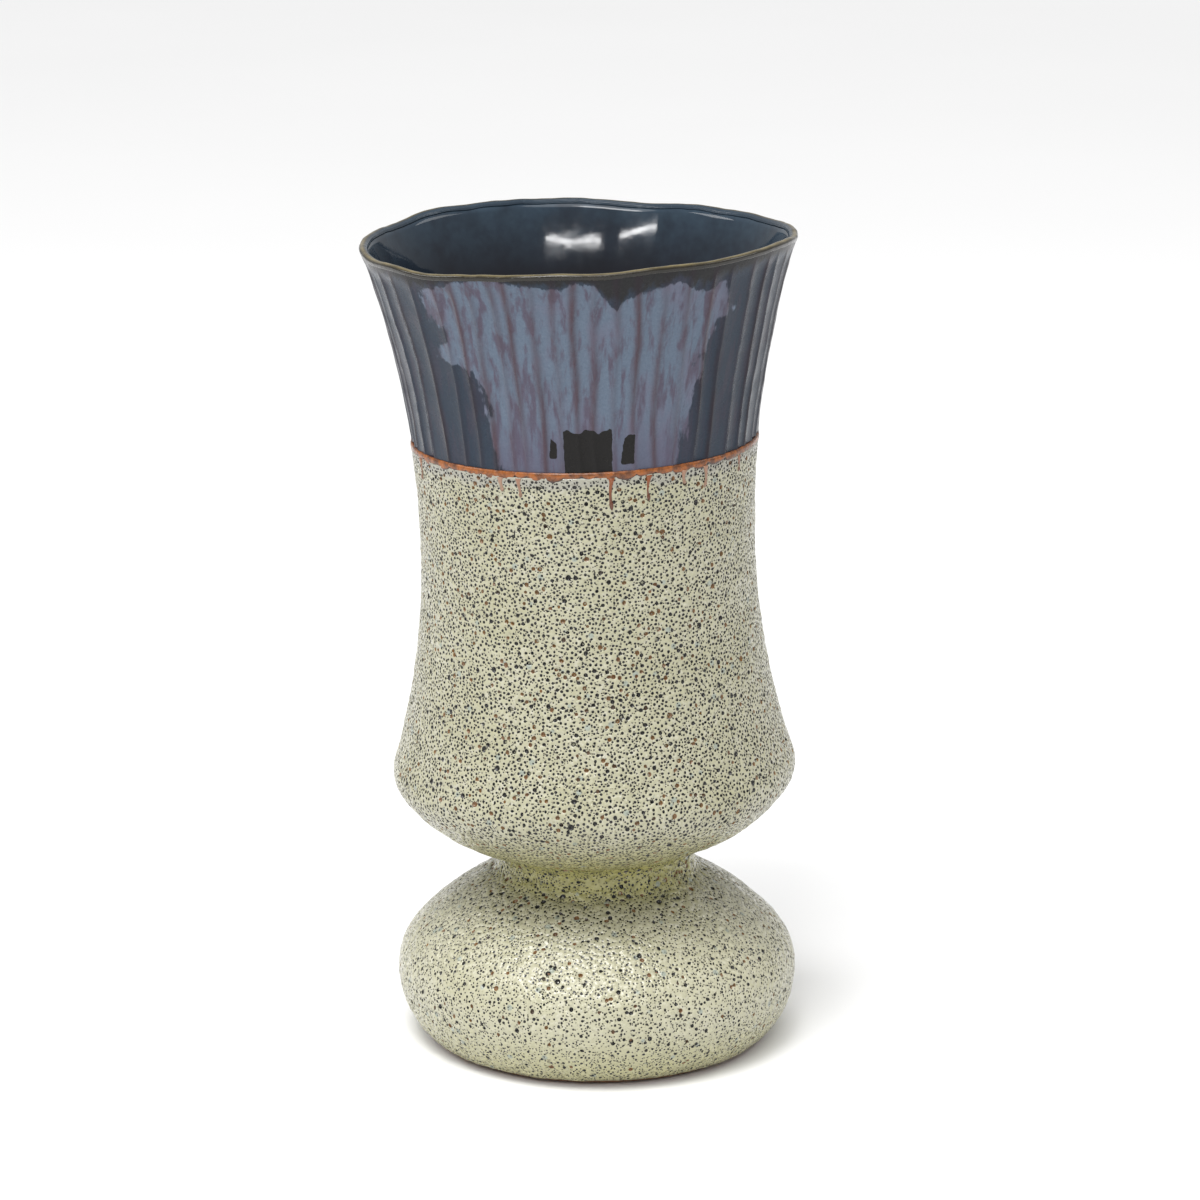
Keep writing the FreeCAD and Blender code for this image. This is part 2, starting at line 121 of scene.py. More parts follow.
class Outline:
    """A run of arcs down one face of the clay, sampled closely and read by arc length."""

    STEP = 0.25

    def __init__(self, arcs):
        radii, heights, normals = [], [], []
        for centre, radius, start, finish, side in arcs:
            count = max(3, int(abs(finish - start) * radius / self.STEP))
            for angle in np.linspace(start, finish, count):
                along = (math.cos(angle), math.sin(angle))
                radii.append(centre[0] + radius * along[0])
                heights.append(centre[1] + radius * along[1])
                normals.append((side * along[0], side * along[1]))
        self.r = np.array(radii)
        self.h = np.array(heights)
        self.n = np.array(normals)
        step_lengths = np.hypot(np.diff(self.r), np.diff(self.h))
        self.s = np.concatenate(([0.0], np.cumsum(step_lengths)))
        middle_radii = (self.r[1:] + self.r[:-1]) / 2
        self.v = np.concatenate(([0.0], np.cumsum(step_lengths / middle_radii)))

    def at(self, value, key="s"):
        """Radius, height and outward normal where the arc length s, or v, has a value."""
        axis = getattr(self, key)
        radius = np.interp(value, axis, self.r)
        height = np.interp(value, axis, self.h)
        normal = (np.interp(value, axis, self.n[:, 0]), np.interp(value, axis, self.n[:, 1]))
        return radius, height, normal


def flare_arc(radius, middle, high, low):
    """The upper part of the vessel: an arc about a centre outside it, from high to low."""
    centre = (middle + radius, WAIST_HEIGHT)
    start = math.pi - math.asin((high - WAIST_HEIGHT) / radius)
    finish = math.pi - math.asin((low - WAIST_HEIGHT) / radius)
    return (centre, radius, start, finish, -1)


def outer_flare(high, low=WAIST_HEIGHT):
    return flare_arc(FLARE, WAIST_RADIUS, high, low)


def inner_flare(high, low=WAIST_HEIGHT):
    return flare_arc(BORE_FLARE, WAIST_RADIUS - WALL, high, low)


def body_arcs(offset, upper_end):
    """The barrel, belly and underside, offset from the outer face of the clay."""
    corner = BELLY_CORNER + offset
    corner_x = BELLY_RADIUS - BELLY_CORNER
    under = UNDERSIDE + offset
    waist = WAIST_RADIUS + offset
    reach = waist - corner_x
    rise = WAIST_HEIGHT - BELLY_HEIGHT
    barrel = (reach**2 + rise**2 - corner**2) / (2 * (corner - reach))
    barrel_x = waist + barrel
    shoulder = math.atan2(rise, barrel_x - corner_x)
    drop = UNDERSIDE_CENTRE - BELLY_HEIGHT
    under_x = corner_x - math.sqrt((under - corner) ** 2 - drop**2)
    turn = math.atan2(-drop, corner_x - under_x)
    return [
        ((barrel_x, WAIST_HEIGHT), barrel, math.pi, math.pi + shoulder, -1),
        ((corner_x, BELLY_HEIGHT), corner, shoulder, turn, 1),
        ((under_x, UNDERSIDE_CENTRE), under, turn, upper_end, 1),
    ]


def fillet_radius(centre_x, centre_height, radius):
    """The fillet that starts upright at the coil's waist and runs smoothly into an arc."""
    reach = COIL_WAIST - centre_x
    return (reach**2 + centre_height**2 - radius**2) / (2 * (radius - reach))


UNDER_X = body_arcs(0, 0)[2][0][0]
CROWN_DROP = math.sqrt((BULB_CROWN - BULB_SIDE) ** 2 - (BULB_RADIUS - BULB_SIDE) ** 2)
CROWN_CENTRE = BULB_MIDDLE - CROWN_DROP
UPPER_FILLET = fillet_radius(UNDER_X, UNDERSIDE_CENTRE, UNDERSIDE)
LOWER_FILLET = fillet_radius(0, CROWN_CENTRE, BULB_CROWN)
UPPER_FILLET_X = COIL_WAIST + UPPER_FILLET
LOWER_FILLET_X = COIL_WAIST + LOWER_FILLET
UNDERSIDE_END = math.atan2(-UNDERSIDE_CENTRE, UPPER_FILLET_X - UNDER_X)
CROWN_TOP = math.atan2(-CROWN_CENTRE, LOWER_FILLET_X)
BULB_SHOULDER = math.atan2(CROWN_DROP, BULB_RADIUS - BULB_SIDE)
FOOT_TURN = math.asin((BULB_MIDDLE - FOOT_EDGE) / BULB_LOWER)


def lower_arcs():
    """The neck's two fillets and the bulb, down to the dry edge of the foot."""
    side_x = BULB_RADIUS - BULB_SIDE
    lower_x = BULB_RADIUS - BULB_LOWER
    return [
        ((UPPER_FILLET_X, 0), UPPER_FILLET, math.pi + UNDERSIDE_END, math.pi, -1),
        ((LOWER_FILLET_X, 0), LOWER_FILLET, math.pi, math.pi + CROWN_TOP, -1),
        ((0, CROWN_CENTRE), BULB_CROWN, CROWN_TOP, BULB_SHOULDER, 1),
        ((side_x, BULB_MIDDLE), BULB_SIDE, BULB_SHOULDER, 0, 1),
        ((lower_x, BULB_MIDDLE), BULB_LOWER, 0, -FOOT_TURN, 1),
    ]


# ---------- the hand-made shape


def smooth(low, high, value):
    """Rises smoothly from 0 at low to 1 at high."""
    t = np.clip((value - low) / (high - low), 0.0, 1.0)
    return t * t * (3 - 2 * t)


# (times round, height in mm, phase) of the waves along the hand-cut lip
LIP_WAVES = [(2, 1.5, -1.26), (3, 0.25, 2.0), (5, 0.3, 0.9), (9, 0.3, 2.6), (14, 0.2, 1.1)]
WAVE_DEPTH = 45.0

# how the lip bends in and out as it waves, and how far the wall is out of round
LIP_BEND = 0.35
LIP_PULL = 0.5
OUT_OF_ROUND = 0.2


def lip_wave(bearing):
    """How far the lip stands above its mean height at a bearing."""
    return sum(size * np.cos(times * bearing + phase) for times, size, phase in LIP_WAVES)


def place(bearing, radius, height):
    """A point of the vase in metres: the waves of the lip, the wobble of the wall and the lean."""
    reach = smooth(RIM_HEIGHT - WAVE_DEPTH, RIM_HEIGHT, height)
    height = height + reach * lip_wave(bearing)
    radius = radius + reach * (LIP_BEND * lip_wave(bearing + 1.3) - LIP_PULL)
    radius = radius + OUT_OF_ROUND * smooth(10, 60, height) * np.cos(2 * bearing + 0.02 * height)
    x = radius * np.sin(bearing)
    y = -radius * np.cos(bearing)
    share = smooth(-LOWER_FILLET, UPPER_FILLET, height) * LEAN
    leaned_x = x * np.cos(share) - height * np.sin(share)
    leaned_z = x * np.sin(share) + height * np.cos(share) + JOINT
    return leaned_x * MM, y * MM, leaned_z * MM


def ripple(bearing, radius, height, scale, seed=0.0):
    """Smooth noise from -1 to 1 on the surface, with features about scale millimetres across."""
    x = radius * math.sin(bearing) / scale
    y = -radius * math.cos(bearing) / scale
    return noise.noise(Vector((x + seed, y - seed, height / scale)))


# ---------- meshes


def add_object(name, data):
    """A new object in the scene that shows a mesh, light or camera."""
    made = bpy.data.objects.new(name, data)
    bpy.context.scene.collection.objects.link(made)
    return made


def new_piece(name, points, faces, nodes, material):
    """A smooth-shaded piece that rides on the body and stands for CAD nodes."""
    mesh = bpy.data.meshes.new(name)
    mesh.from_pydata(points, [], faces)
    mesh.shade_smooth()
    mesh.materials.append(material)
    piece = add_object(name, mesh)
    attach(piece, "root")
    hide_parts(*nodes)
    return piece


def tint(piece, name, values):
    """Stores up to three numbers per vertex as a colour that the material reads."""
    layer = piece.data.attributes.new(name, "FLOAT_COLOR", "POINT")
    rgba = np.ones((len(piece.data.vertices), 4), dtype=np.float32)
    rgba[: len(values), :3] = values
    rgba[len(values) :, :3] = 0.0
    layer.data.foreach_set("color", rgba.ravel())


def ring_faces(first, second, columns):
    """Quads between two closed rings, given the index that each starts at."""
    return [
        (first + c, second + c, second + (c + 1) % columns, first + (c + 1) % columns)
        for c in range(columns)
    ]


def loop_faces(rows, columns):
    """Quads of a closed skin: rows of rings, the last joined back to the first."""
    faces = []
    for row in range(rows):
        faces += ring_faces(row * columns, (row + 1) % rows * columns, columns)
    return faces


def bearings_round(columns):
    """Evenly spaced bearings, starting and ending behind the vase."""
    return (np.arange(columns) / columns * 2 - 1) * math.pi


def on_outline(outline, s, bearing, rise):
    """A point of the vase that stands off an outline by a rise, at an arc length and a bearing."""
    radius, height, normal = outline.at(s)
    return place(bearing, radius + rise * normal[0], height + rise * normal[1])


def lathe(rows, columns, move):
    """Points and quads of a turned shape, whose rows of (radius, height) move changes by bearing."""
    bearings = bearings_round(columns)
    points = []
    for radius, height in rows:
        for bearing in bearings:
            points.append(place(bearing, *move(bearing, radius, height)))
    return points, loop_faces(len(rows), columns)


def face_rows(outline, count, coat=0.0):
    """Evenly spaced (radius, height) pairs down an outline, raised by a coat."""
    rows = []
    for s in np.linspace(0, outline.s[-1], count):
        radius, height, normal = outline.at(s)
        rows.append((radius + coat * normal[0], height + coat * normal[1]))
    return rows


# ---------- lava glaze


# the glaze's widest radius: fewer throws are kept above and below, so that pits spread evenly
WIDEST = 80.0

# the least glaze left between two pits
BETWEEN_PITS = 0.1

# how far a pit's middle stays from the glaze's ends and from the seam behind: (its radii, mm)
CLEAR_OF_ENDS = (1.3, 0.3)
CLEAR_OF_SEAM = (1.14, 0.04)


class Pits:
    """Burst bubbles scattered over an outline's surface, none touching another.

    A place is a bearing u and a distance v down the outline, in radii of the vase. Pits are
    also kept by the cell they fall in, whose column is shifted so that none is below 0.
    """

    CELL = 0.08
    SHIFT = 200

    def __init__(self, outline, seed):
        self.outline = outline
        self.random = random.Random(seed)
        self.cells = {}
        self.found = []

    def cell(self, u, v):
        return int(u / self.CELL + self.SHIFT), int(v / self.CELL)

    def clear(self, u, v, size, radius):
        """True if a pit of this size would stand clear of every other."""
        column, row = self.cell(u, v)
        for i in (-1, 0, 1):
            for j in (-1, 0, 1):
                for x, y, other in self.cells.get((column + i, row + j), ()):
                    gap = size + other + BETWEEN_PITS
                    if ((u - x) ** 2 + (v - y) ** 2) * radius**2 < gap**2:
                        return False
        return True

    def scatter(self, tries, low, high, density=None):
        """Throws pits with radii from low to high, keeping those that fall on clear glaze."""
        end = self.outline.v[-1]
        for _ in range(tries):
            u = self.random.uniform(-math.pi, math.pi)
            v = self.random.uniform(0, end)
            radius, height, _ = self.outline.at(v, "v")
            if self.random.random() > (radius / WIDEST) ** 2:
                continue
            if density and self.random.random() > density(u, radius, height):
                continue
            size = low + (high - low) * self.random.random() ** 2
            edge = (size * CLEAR_OF_ENDS[0] + CLEAR_OF_ENDS[1]) / radius
            seam = (size * CLEAR_OF_SEAM[0] + CLEAR_OF_SEAM[1]) / radius
            if not (edge < v < end - edge and abs(u) < math.pi - seam):
                continue
            if self.clear(u, v, size, radius):
                self.cells.setdefault(self.cell(u, v), []).append((u, v, size))
                self.found.append((u, v, size))


# two marks this near, in radians, are the same point
NEAR = 1e-5

# how dark a pit's edge, and the glaze round it, is marked; its floor is 1, and the darker marks paint
# the pit's walls and floor near-black as painted shade
PIT_EDGE = 0.4

# how a pit is drawn: (largest radius, [(share of the radius, points, share of the depth)])
PIT_FORMS = [
    (0.7, [(1.0, 6, 0.0), (0.0, 1, 1.0)]),
    (0.8, [(1.0, 7, 0.0), (0.72, 5, 0.9), (0.0, 1, 1.0)]),
    (9.9, [(1.0, 10, 0.0), (0.84, 9, 0.7), (0.5, 6, 0.95), (0.0, 1, 1.0)]),
]

# pits of the second radius and up are often golden inside, and those below the first never are
GOLDEN_PITS = (0.5, 0.75)
GOLDEN_MORE = 0.25

# a pit is as deep as this and a share of its radius, but never through to the clay
PIT_DEPTH = 0.4
PIT_DEEPER = 0.6
DEEPEST_PIT = 0.95

# points round the glaze at its two ends, and rows down its hidden face against the clay
LAVA_COLUMNS = 420
BACK_ROWS = 24


def edge_marks(end):
    """Marks along the two ends of the glaze and down both sides of the seam behind."""
    marks = []
    for c in range(LAVA_COLUMNS + 1):
        u = (c / LAVA_COLUMNS * 2 - 1) * math.pi
        marks += [(u, 0.0, 0, PIT_EDGE, 0), (u, end, 0, PIT_EDGE, 0)]
    seam_rows = int(LAVA_COLUMNS * end / (2 * math.pi))
    for row in range(1, seam_rows):
        marks += [(u, end * row / seam_rows, 0, PIT_EDGE, 0) for u in (-math.pi, math.pi)]
    return marks


def pit_marks(outline, pits):
    """Marks round the rim, down the side and on the floor of every pit."""
    spread = random.Random(7)
    marks = []
    for u, v, size in pits.found:
        radius = outline.at(v, "v")[0]
        form = next(rings for largest, rings in PIT_FORMS if size <= largest)
        turn = spread.uniform(0, math.tau)
        stretch = spread.uniform(0.88, 1.12)
        golden = float(smooth(*GOLDEN_PITS, size))
        warm = spread.random() * golden + GOLDEN_MORE * (size > GOLDEN_PITS[1])
        depth = min(DEEPEST_PIT, PIT_DEPTH + PIT_DEEPER * size)
        for share, count, down in form:
            for k in range(count):
                angle = turn + math.tau * k / count
                reach = size * share / radius
                du = reach * math.cos(angle) * stretch
                dv = reach * math.sin(angle) / stretch
                # the darkness rises from the rim to 1 on the floor, painting the pit's inside near-black
                # as painted shade
                marks.append((u + du, v + dv, down * depth, PIT_EDGE + (1 - PIT_EDGE) * down, warm))
    return marks


def back_faces(first, rims):
    """Quads of the hidden face, whose points start at first, and of the two ends that close it."""
    columns = LAVA_COLUMNS
    faces = []
    for row in range(BACK_ROWS - 1):
        quads = ring_faces(first + row * columns, first + (row + 1) * columns, columns)
        faces += [quad[::-1] for quad in quads]
    last = first + (BACK_ROWS - 1) * columns
    for c in range(columns):
        n = (c + 1) % columns
        faces.append((rims[0][c], rims[0][n], first + n, first + c))
        faces.append((rims[1][n], rims[1][c], last + c, last + n))
    return faces


def lava_skin(name, outline, pits, zone, nodes):
    """A coat of lava glaze, its pits and swells modelled, closed behind against the clay.

    The marks are (u, v, depth, darkness, warmth), the darkness being painted shade inside a pit.
    They are joined into triangles on the flat map of u and v, and the map is then wrapped round the
    vase.
    """
    end = outline.v[-1]
    marks = edge_marks(end) + pit_marks(outline, pits)
    flat = [Vector(mark[:2]) for mark in marks]
    corners, _, triangles, origins, _, _ = delaunay_2d_cdt(flat, [], [], 0, 1e-9)
    source = [origin[0] for origin in origins]
    seam = {}
    for index, corner in enumerate(corners):
        if corner.x <= -math.pi + NEAR:
            seam[round(corner.y, 4)] = index
    merged = [seam[round(c.y, 4)] if c.x >= math.pi - NEAR else i for i, c in enumerate(corners)]

    points, tints, zones = [], [], []
    for index, corner in enumerate(corners):
        _, _, down, dark, warm = marks[source[index]]
        radius, height, normal = outline.at(corner.y, "v")
        swell = 0.22 * ripple(corner.x, radius, height, 2.6)
        swell += 0.3 * ripple(corner.x, radius, height, 11, 5.0)
        rise = LAVA_COAT + swell - down
        points.append(place(corner.x, radius + rise * normal[0], height + rise * normal[1]))
        tints.append((dark, warm, 0.0))
        zones.append(zone(corner.x, radius, height))
    faces = [tuple(merged[i] for i in reversed(triangle)) for triangle in triangles]

    top = {round(c.x, 4): i for i, c in enumerate(corners) if c.y <= NEAR}
    low = {round(c.x, 4): i for i, c in enumerate(corners) if c.y >= end - NEAR}
    rims = [[side[key] for key in sorted(side)][:-1] for side in (top, low)]
    first = len(points)
    for radius, height in face_rows(outline, BACK_ROWS):
        points += [place(bearing, radius, height) for bearing in bearings_round(LAVA_COLUMNS)]
    faces += back_faces(first, rims)
    piece = new_piece(name, points, faces, nodes, lava_material())
    tint(piece, "pit", tints)
    tint(piece, "zone", zones)
    return piece


# how strongly the glaze turns olive under the belly, and the heights between which that fades
OLIVE = 0.75
OLIVE_FADE = (10, 30)

# how strongly the glaze below the iron line is tinted a darker lilac, partly its own tint and partly
# painted shadow under the bead, how far down, and over what it fades
LILAC = 0.5
LILAC_REACH = 1.6
LILAC_FADE = 3.0


def vessel_zone(bearing, radius, height):
    """How olive the pale glaze is where it pools under the belly, and how lilac by the line, a darker
    lilac that is partly painted shadow under the bead.
    """
    olive = OLIVE * (1 - smooth(*OLIVE_FADE, height))
    waves = 2.2 * ripple(bearing, WAIST_RADIUS, 0, 8) + 1.2 * ripple(bearing, WAIST_RADIUS, 0, 3)
    low = LINE_LOW - LILAC_REACH - waves
    lilac = LILAC * smooth(low - LILAC_FADE, low, height)
    return float(olive), float(lilac), 0.0


def foot_zone(bearing, radius, height):
    """Where the pale glaze has pooled to olive in the neck and low on the bulb, and a third number, 1,
    that has the bulb's glaze painted lighter as painted light.
    """
    neck = 0.9 * smooth(-11, -3, height)
    low = 0.5 * (1 - smooth(FOOT_EDGE + 2, FOOT_EDGE + 24, height))
    return float(max(neck, low)), 0.0, 1.0


def finer_below(bearing, radius, height):
    """The commonest pits crowd the tall wall and thin out under the belly."""
    return 0.35 + 0.65 * float(smooth(0, 40, height))


def near_neck(bearing, radius, height):
    """Larger pits gather in the hollow of the neck."""
    return float(smooth(-15, -6, height))


# pits thrown at each coat: (tries, least radius, greatest radius, how common at a place)
VESSEL_PITS = [
    (520, 0.8, 1.15),
    (9000, 0.62, 0.9),
    (70000, 0.48, 0.7, finer_below),
    (34000, 0.3, 0.42),
]
FOOT_PITS = [
    (900, 0.85, 1.3, near_neck),
    (420, 0.75, 1.15),
    (5000, 0.55, 0.8),
    (24000, 0.32, 0.52),
]


def make_lava_on_vessel():
    """The lava glaze from the iron line, over the belly, down to the neck."""
    outline = Outline([outer_flare(LINE_LOW + 1)] + body_arcs(0, UNDERSIDE_END))
    pits = Pits(outline, seed=11)
    for throw in VESSEL_PITS:
        pits.scatter(*throw)
    return lava_skin("lava_glaze_on_vessel", outline, pits, vessel_zone, ["lava_glaze_vessel"])


def make_lava_on_foot():
    """The lava glaze in the hollow of the neck and over the bulb."""
    outline = Outline(lower_arcs())
    pits = Pits(outline, seed=23)
    for throw in FOOT_PITS:
        pits.scatter(*throw)
    nodes = ["lava_glaze_foot", "lava_glaze_neck"]
    return lava_skin("lava_glaze_on_foot", outline, pits, foot_zone, nodes)


# ---------- the fluted collar


# the ridges that the front shows, in degrees; those behind are spaced at random
FRONT_RIDGES = [-72, -65, -58, -50, -41, -35, -29.5, -23, -19, -12.3, -6.8, -1.5, 3.5, 9.7, 16]
FRONT_RIDGES += [23, 30, 38, 44, 53, 60, 66, 73]
RIDGES_BEHIND = 32


def ridge_bearings():
    """The bearings of the ridges between the hand-carved flutes, all the way round."""
    spread = random.Random(5)
    gap = 360 - (FRONT_RIDGES[-1] - FRONT_RIDGES[0])
    widths = [spread.uniform(0.6, 1.4) for _ in range(RIDGES_BEHIND + 1)]
    degrees = list(FRONT_RIDGES)
    for width in widths[:-1]:
        degrees.append(degrees[-1] + width * gap / sum(widths))
    wrapped = sorted((d + 180) % 360 - 180 for d in degrees)
    closed = [wrapped[-1] - 360] + wrapped + [wrapped[0] + 360]
    return np.radians(closed)


RIDGES = ridge_bearings()


# the radius at which the ridges' width is measured, that width, and the depth of the carving
COLLAR_MIDDLE = 70.0
RIDGE_WIDTH = 1.35
FLUTE_DEPTH = 0.8

# how far a flute sways from upright, in radians
SWAY = 0.022


def flute_at(bearing, height):
    """Where a bearing lies in its flute: its share of the way across, the flute's width and number."""
    sway = noise.noise(Vector((math.sin(bearing) * 5, math.cos(bearing) * 5, height / 30)))
    turned = (bearing + SWAY * sway + math.pi) % math.tau - math.pi
    index = int(np.searchsorted(RIDGES, turned, side="right")) - 1
    start, finish = RIDGES[index], RIDGES[index + 1]
    return (turned - start) / (finish - start), finish - start, index


def ridge(bearing, height):
    """How near a bearing is to a ridge: 1 on it, 0 well away, and fainter on some ridges."""
    share, width, index = flute_at(bearing, height)
    nearest = index + (share > 0.5)
    away = min(share, 1 - share) * width * COLLAR_MIDDLE
    strength = 0.66 + 0.34 * math.sin(nearest * 2.1 + height / 23)
    return strength * math.exp(-((away / RIDGE_WIDTH) ** 2))


def flute_depth(bearing, height):
    """How deep the carving is at a point of the collar, in millimetres."""
    share, _, index = flute_at(bearing, height)
    ends = smooth(LINE_LOW, LINE_LOW + 4, height) * (1 - smooth(RIM_HEIGHT - 10, RIM_HEIGHT - 3, height))
    hollow = (4 * share * (1 - share)) ** 0.7
    return float(ends) * FLUTE_DEPTH * (1 + 0.3 * math.sin(index * 2.4)) * hollow


def follow(points, value):
    """Reads a line through (place, height) points."""
    places, heights = zip(*points)
    return float(np.interp(value, places, heights))


# the sides of the pale layer: (mm below the rim, bearing in degrees)
PALE_LEFT = [(0, -45), (8, -46.5), (17, -46), (21, -44), (24, -40), (28, -40), (31, -45), (36, -45)]
PALE_LEFT += [(39, -36), (43, -32), (54, -30), (66, -30), (80, -27)]
PALE_RIGHT = [(0, 43), (17, 44.5), (21, 47), (24, 42), (32, 38), (46, 37), (57, 35), (80, 32)]
# its ragged upper edge: (bearing in degrees, mm below the rim)
PALE_TOP = [(-60, 6), (-46, 7.5), (-31, 2.3), (-22, 1.5), (-16, 4.5), (-4.5, 6.6), (-1, 3.6), (4, 5)]
PALE_TOP += [(7, 11), (10, 15), (13, 11), (22, 9), (27, 6), (32, 10.4), (36, 12), (40, 9.7), (60, 6)]


# how fast the pale layer gives way past its sides, per degree, and past its top, per mm
SIDE_FADE = 0.06
TOP_FADE = 0.14

# past this bearing, in degrees, the layer takes its own wandering shape
FRONT_ENDS = 100


def pale_layer(bearing, height):
    """The pale upper layer of glaze: above 0.5 where it lies, and below outside its edges."""
    degrees = math.degrees(bearing)
    down = RIM_HEIGHT - height
    left = (degrees - follow(PALE_LEFT, down)) * SIDE_FADE
    right = (follow(PALE_RIGHT, down) - degrees) * SIDE_FADE
    top = (down - follow(PALE_TOP, degrees)) * TOP_FADE
    behind = 0.5 * math.cos(2 * bearing + 0.6) + 0.3 * math.sin(5 * bearing + down / 20)
    level = min(left, right, top) if abs(degrees) < FRONT_ENDS else min(behind - 0.25, top)
    return float(np.clip(0.5 + level, 0, 1))


def top_shade(bearing, height):
    """1 in the darkest glaze just under the rim, falling to 0 below it."""
    down = RIM_HEIGHT - height
    reach = max(2.0, follow(PALE_TOP, math.degrees(bearing)) * 0.9)
    return float(np.clip(1.15 - down / reach * 0.65, 0, 1))


# the bare dark patches low on the front: bearings in degrees and heights of their edges
DARK_PATCHES = [
    (-6.2, 9.1, LINE_HIGH - 2, LINE_HIGH + 16.0),
    (11.8, 16.2, LINE_HIGH + 2.5, LINE_HIGH + 13.5),
    (-11.1, -8.6, LINE_HIGH + 5.5, LINE_HIGH + 13.0),
]


def dark_patch(bearing, height):
    """1 inside the dark patches low on the front, falling to 0 across their edges."""
    best = 0.0
    degrees = math.degrees(bearing)
    for first, last, low, high in DARK_PATCHES:
        slant = 0.12 * (height - low) * (last - first < 5)
        sides = min(degrees - slant - first, last + slant * 0.2 - degrees) * 0.5
        ragged = 0.8 * math.sin(degrees * 0.9) + 0.3 * math.sin(degrees * 2.3)
        ends = min(height - low, high + ragged - height) * 0.35
        best = max(best, 0.5 + min(sides, ends, 0.5))
    return best


# points round the collar and the iron line
COLLAR_COLUMNS = 900

# how far the collar runs on behind the iron line, and how far its back sinks into the clay
COLLAR_BEHIND_LINE = 1.5
INTO_CLAY = 0.1


def make_collar():
    """The blue glaze over the flutes, from the iron line to the rim band."""
    rows, back_rows = 64, 8
    outline = Outline([outer_flare(RIM_HEIGHT - COLLAR_BELOW_RIM, LINE_HIGH - COLLAR_BEHIND_LINE)])
    bearings = bearings_round(COLLAR_COLUMNS)
    points, tints, layers = [], [], []
    for s in np.linspace(0, outline.s[-1], rows):
        radius, height, _ = outline.at(s)
        near_line = float(1 - smooth(LINE_HIGH, LINE_HIGH + 26, height))
        for bearing in bearings:
            rise = COLLAR_COAT + 0.15 * ripple(bearing, radius, height, 9) - flute_depth(bearing, height)
            points.append(on_outline(outline, s, bearing, rise))
            tints.append([read(bearing, height) for read in (ridge, pale_layer, dark_patch)])
            layers.append((top_shade(bearing, height), near_line, 0.0))
    for s in np.linspace(outline.s[-1], 0, back_rows):
        height = outline.at(s)[1]
        for bearing in bearings:
            points.append(on_outline(outline, s, bearing, -flute_depth(bearing, height) - INTO_CLAY))
    faces = loop_faces(rows + back_rows, COLLAR_COLUMNS)
    material = collar_material()
    piece = new_piece("blue_collar_glaze", points, faces, ["collar_glaze"], material)
    tint(piece, "collar", tints)
    tint(piece, "shade", layers)
    return piece


# ---------- iron line and runs


# the clay traced above and below the line, so that its ragged lower edge has room
ABOVE_LINE = 1.0
BELOW_LINE = 3.0

# how far the line's edges stand off the clay, and how much further its crown does
LINE_EDGE = 0.72
LINE_CROWN = 0.42


def line_width(bearing):
    """The line's width at a bearing: it droops in the middle of each flute and is a little ragged."""
    share, _, index = flute_at(bearing, LINE_LOW)
    scallop = 1.7 * (4 * share * (1 - share)) ** 0.6 - 1.2 + 0.6 * math.sin(index * 1.7)
    ragged = 0.5 * ripple(bearing, WAIST_RADIUS, 0, 3) + 0.3 * ripple(bearing, WAIST_RADIUS, 0, 12)
    return LINE_HIGH - LINE_LOW + scallop + ragged


def make_iron_line():
    """The raised rust-coloured bead where the two glazes meet, scalloped along its lower edge."""
    across = 8
    outline = Outline([outer_flare(LINE_HIGH + ABOVE_LINE, LINE_LOW - BELOW_LINE)])
    bearings = bearings_round(COLLAR_COLUMNS)
    points, tints = [], []
    start = outline.s[-1] * ABOVE_LINE / (LINE_HIGH - LINE_LOW + ABOVE_LINE + BELOW_LINE)
    for k in range(across):
        turn = k / (across - 1)
        for bearing in bearings:
            s = start + turn * line_width(bearing)
            radius, height, _ = outline.at(s)
            rise = LINE_EDGE + LINE_CROWN * math.sin(math.pi * turn) ** 0.6
            rise += 0.12 * ripple(bearing, radius, height, 2.5)
            points.append(on_outline(outline, s, bearing, rise))
            tints.append((turn, 0, 0))
    back = (outline.s[-1] * 0.7, start)
    for s in back:
        for bearing in bearings:
            points.append(on_outline(outline, s, bearing, 0))
            tints.append((0, 0, 0))
    faces = loop_faces(across + len(back), COLLAR_COLUMNS)
    piece = new_piece("iron_line_bead", points, faces, ["iron_line"], iron_material())
    tint(piece, "iron", tints)
    return piece


# each run's bearing in degrees, its length in mm, and how strong its colour is
RUNS = [(8.5, 12, 1.0), (21, 9.5, 1.0), (34, 5, 0.4), (43, 8, 0.4), (61, 6, 0.7), (98, 6, 0.6)]
RUNS += [(131, 10, 0.9), (172, 7, 0.7), (-21.5, 7, 0.5), (-28, 5, 0.3), (-69, 8, 0.6)]
RUNS += [(-106, 8, 0.8), (-148, 5, 0.6)]


# a run's half width, and what its funnel at the line and the bead at its end add to it
RUN_HALF = 0.5
RUN_FUNNEL = 0.9
RUN_BEAD = 0.35

# how far down a run its bead lies, as a share of its length, and how high the run stands
BEAD_AT = 0.86
RUN_RISE = 0.45


